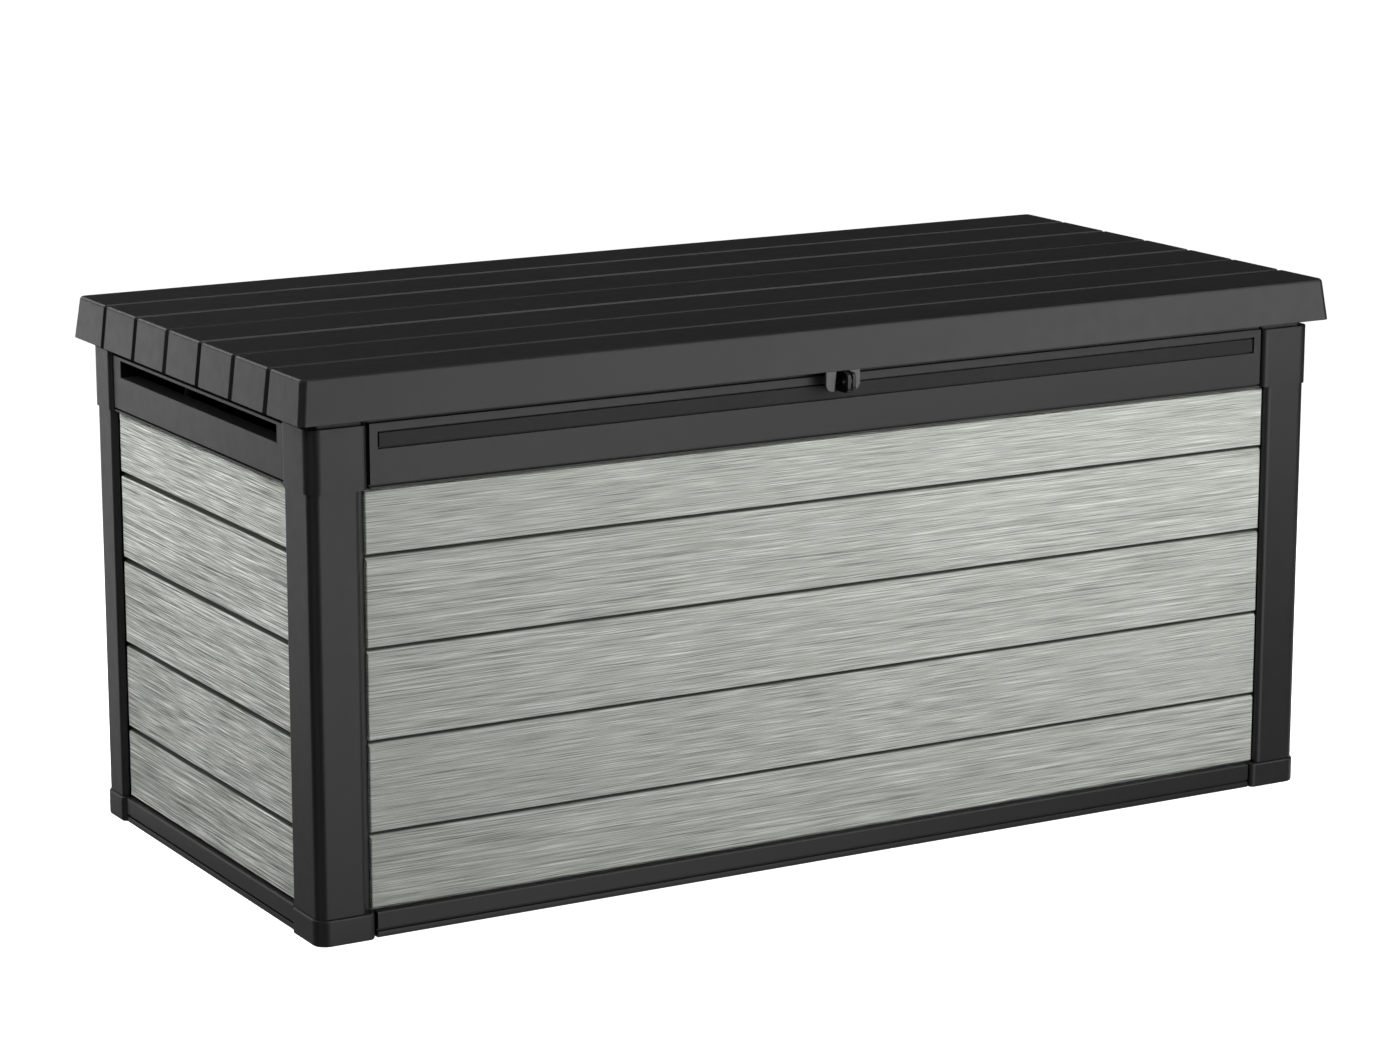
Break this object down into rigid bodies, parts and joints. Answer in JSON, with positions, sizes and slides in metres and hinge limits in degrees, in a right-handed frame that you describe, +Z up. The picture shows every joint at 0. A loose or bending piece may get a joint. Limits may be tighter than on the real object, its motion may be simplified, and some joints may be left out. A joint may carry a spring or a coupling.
{
  "type": "deck storage box",
  "caption": "Long rectangular outdoor storage box: lapped plank walls, corner posts, hand slots in the ends, and a planked lid on a rear hinge with gas struts and a padlock eye.",
  "frame": {"origin": "on the floor, at the middle of the whole object's box", "axes": "+X along the box's length to its right, -Y out of its front with the padlock eye, +Z up"},
  "size_m": [1.535, 0.7404, 0.71],
  "materials": {
    "charcoal": "fine leather-grained moulded resin, satin",
    "lid_charcoal": "fine wood-grained moulded resin, satin",
    "plank": "grey-green resin, brushed wood grain along the planks",
    "liner_black": "smooth matt",
    "eye_black": "satin",
    "zinc_steel": "zinc plated",
    "strut_paint": "satin black paint",
    "strut_chrome": "polished hard chrome"
  },
  "bodies": {
    "root": {"base_rail_back": "charcoal", "base_rail_front": "charcoal", "base_rail_left": "charcoal", "base_rail_right": "charcoal", "corner_post_back_left": "charcoal", "corner_post_back_right": "charcoal", "corner_post_front_left": "charcoal", "corner_post_front_right": "charcoal", "floor_panel": "charcoal", "foot_back_left": "charcoal", "foot_back_right": "charcoal", "foot_front_left": "charcoal", "foot_front_right": "charcoal", "hinge_body_leaf_1": "zinc_steel", "hinge_body_leaf_2": "zinc_steel", "hinge_body_leaf_3": "zinc_steel", "hinge_pin_1": "zinc_steel", "hinge_pin_2": "zinc_steel", "hinge_pin_3": "zinc_steel", "padlock_tongue": "eye_black", "post_cap_back_left": "charcoal", "post_cap_back_right": "charcoal", "post_cap_front_left": "charcoal", "post_cap_front_right": "charcoal", "strut_wall_bracket_left": "zinc_steel", "strut_wall_bracket_right": "zinc_steel", "top_rail_back": "charcoal", "top_rail_front": "charcoal", "top_rail_left": "charcoal", "top_rail_right": "charcoal", "wall_bracket_screw_left_1": "zinc_steel", "wall_bracket_screw_left_2": "zinc_steel", "wall_bracket_screw_right_1": "zinc_steel", "wall_bracket_screw_right_2": "zinc_steel", "wall_panel_back": "plank", "wall_panel_front": "plank", "wall_panel_left": "plank", "wall_panel_right": "plank"},
    "lid": {"hinge_lid_leaf_1": "zinc_steel", "hinge_lid_leaf_2": "zinc_steel", "hinge_lid_leaf_3": "zinc_steel", "lid_bracket_screw_left_1": "zinc_steel", "lid_bracket_screw_left_2": "zinc_steel", "lid_bracket_screw_right_1": "zinc_steel", "lid_bracket_screw_right_2": "zinc_steel", "lid_liner": "liner_black", "lid_shell": "lid_charcoal", "strut_lid_bracket_left": "zinc_steel", "strut_lid_bracket_right": "zinc_steel"},
    "strut_tube_left": {"strut_tube_left": "strut_paint"},
    "strut_tube_right": {"strut_tube_right": "strut_paint"},
    "strut_rod_left": {"strut_rod_left": "strut_chrome"},
    "strut_rod_right": {"strut_rod_right": "strut_chrome"}
  },
  "joints": [
    {"name": "lid_hinge", "type": "hinge", "parent": "root", "child": "lid", "pos_m": [0, 0.3595, 0.6455], "axis": [-1, 0, 0], "range_deg": [0, 75]},
    {"name": "strut_lower_pivot_left", "type": "hinge", "parent": "root", "child": "strut_tube_left", "pos_m": [-0.7, 0.23009, 0.41999], "axis": [-1, 0, 0], "range_deg": [0, 37.5]},
    {"name": "strut_upper_pivot_left", "type": "hinge", "parent": "lid", "child": "strut_rod_left", "pos_m": [-0.7, 0.10085, 0.672], "axis": [-1, 0, 0], "range_deg": [-37.5, 0]},
    {"name": "strut_lower_pivot_right", "type": "hinge", "parent": "root", "child": "strut_tube_right", "pos_m": [0.7, 0.23009, 0.41999], "axis": [-1, 0, 0], "range_deg": [0, 37.5]},
    {"name": "strut_upper_pivot_right", "type": "hinge", "parent": "lid", "child": "strut_rod_right", "pos_m": [0.7, 0.10085, 0.672], "axis": [-1, 0, 0], "range_deg": [-37.5, 0]}
  ],
  "couplings": [
    {"joint": "strut_lower_pivot_left", "follows": "lid_hinge", "ratio": 0.5},
    {"joint": "strut_upper_pivot_left", "follows": "lid_hinge", "ratio": -0.5},
    {"joint": "strut_lower_pivot_right", "follows": "lid_hinge", "ratio": 0.5},
    {"joint": "strut_upper_pivot_right", "follows": "lid_hinge", "ratio": -0.5}
  ]
}
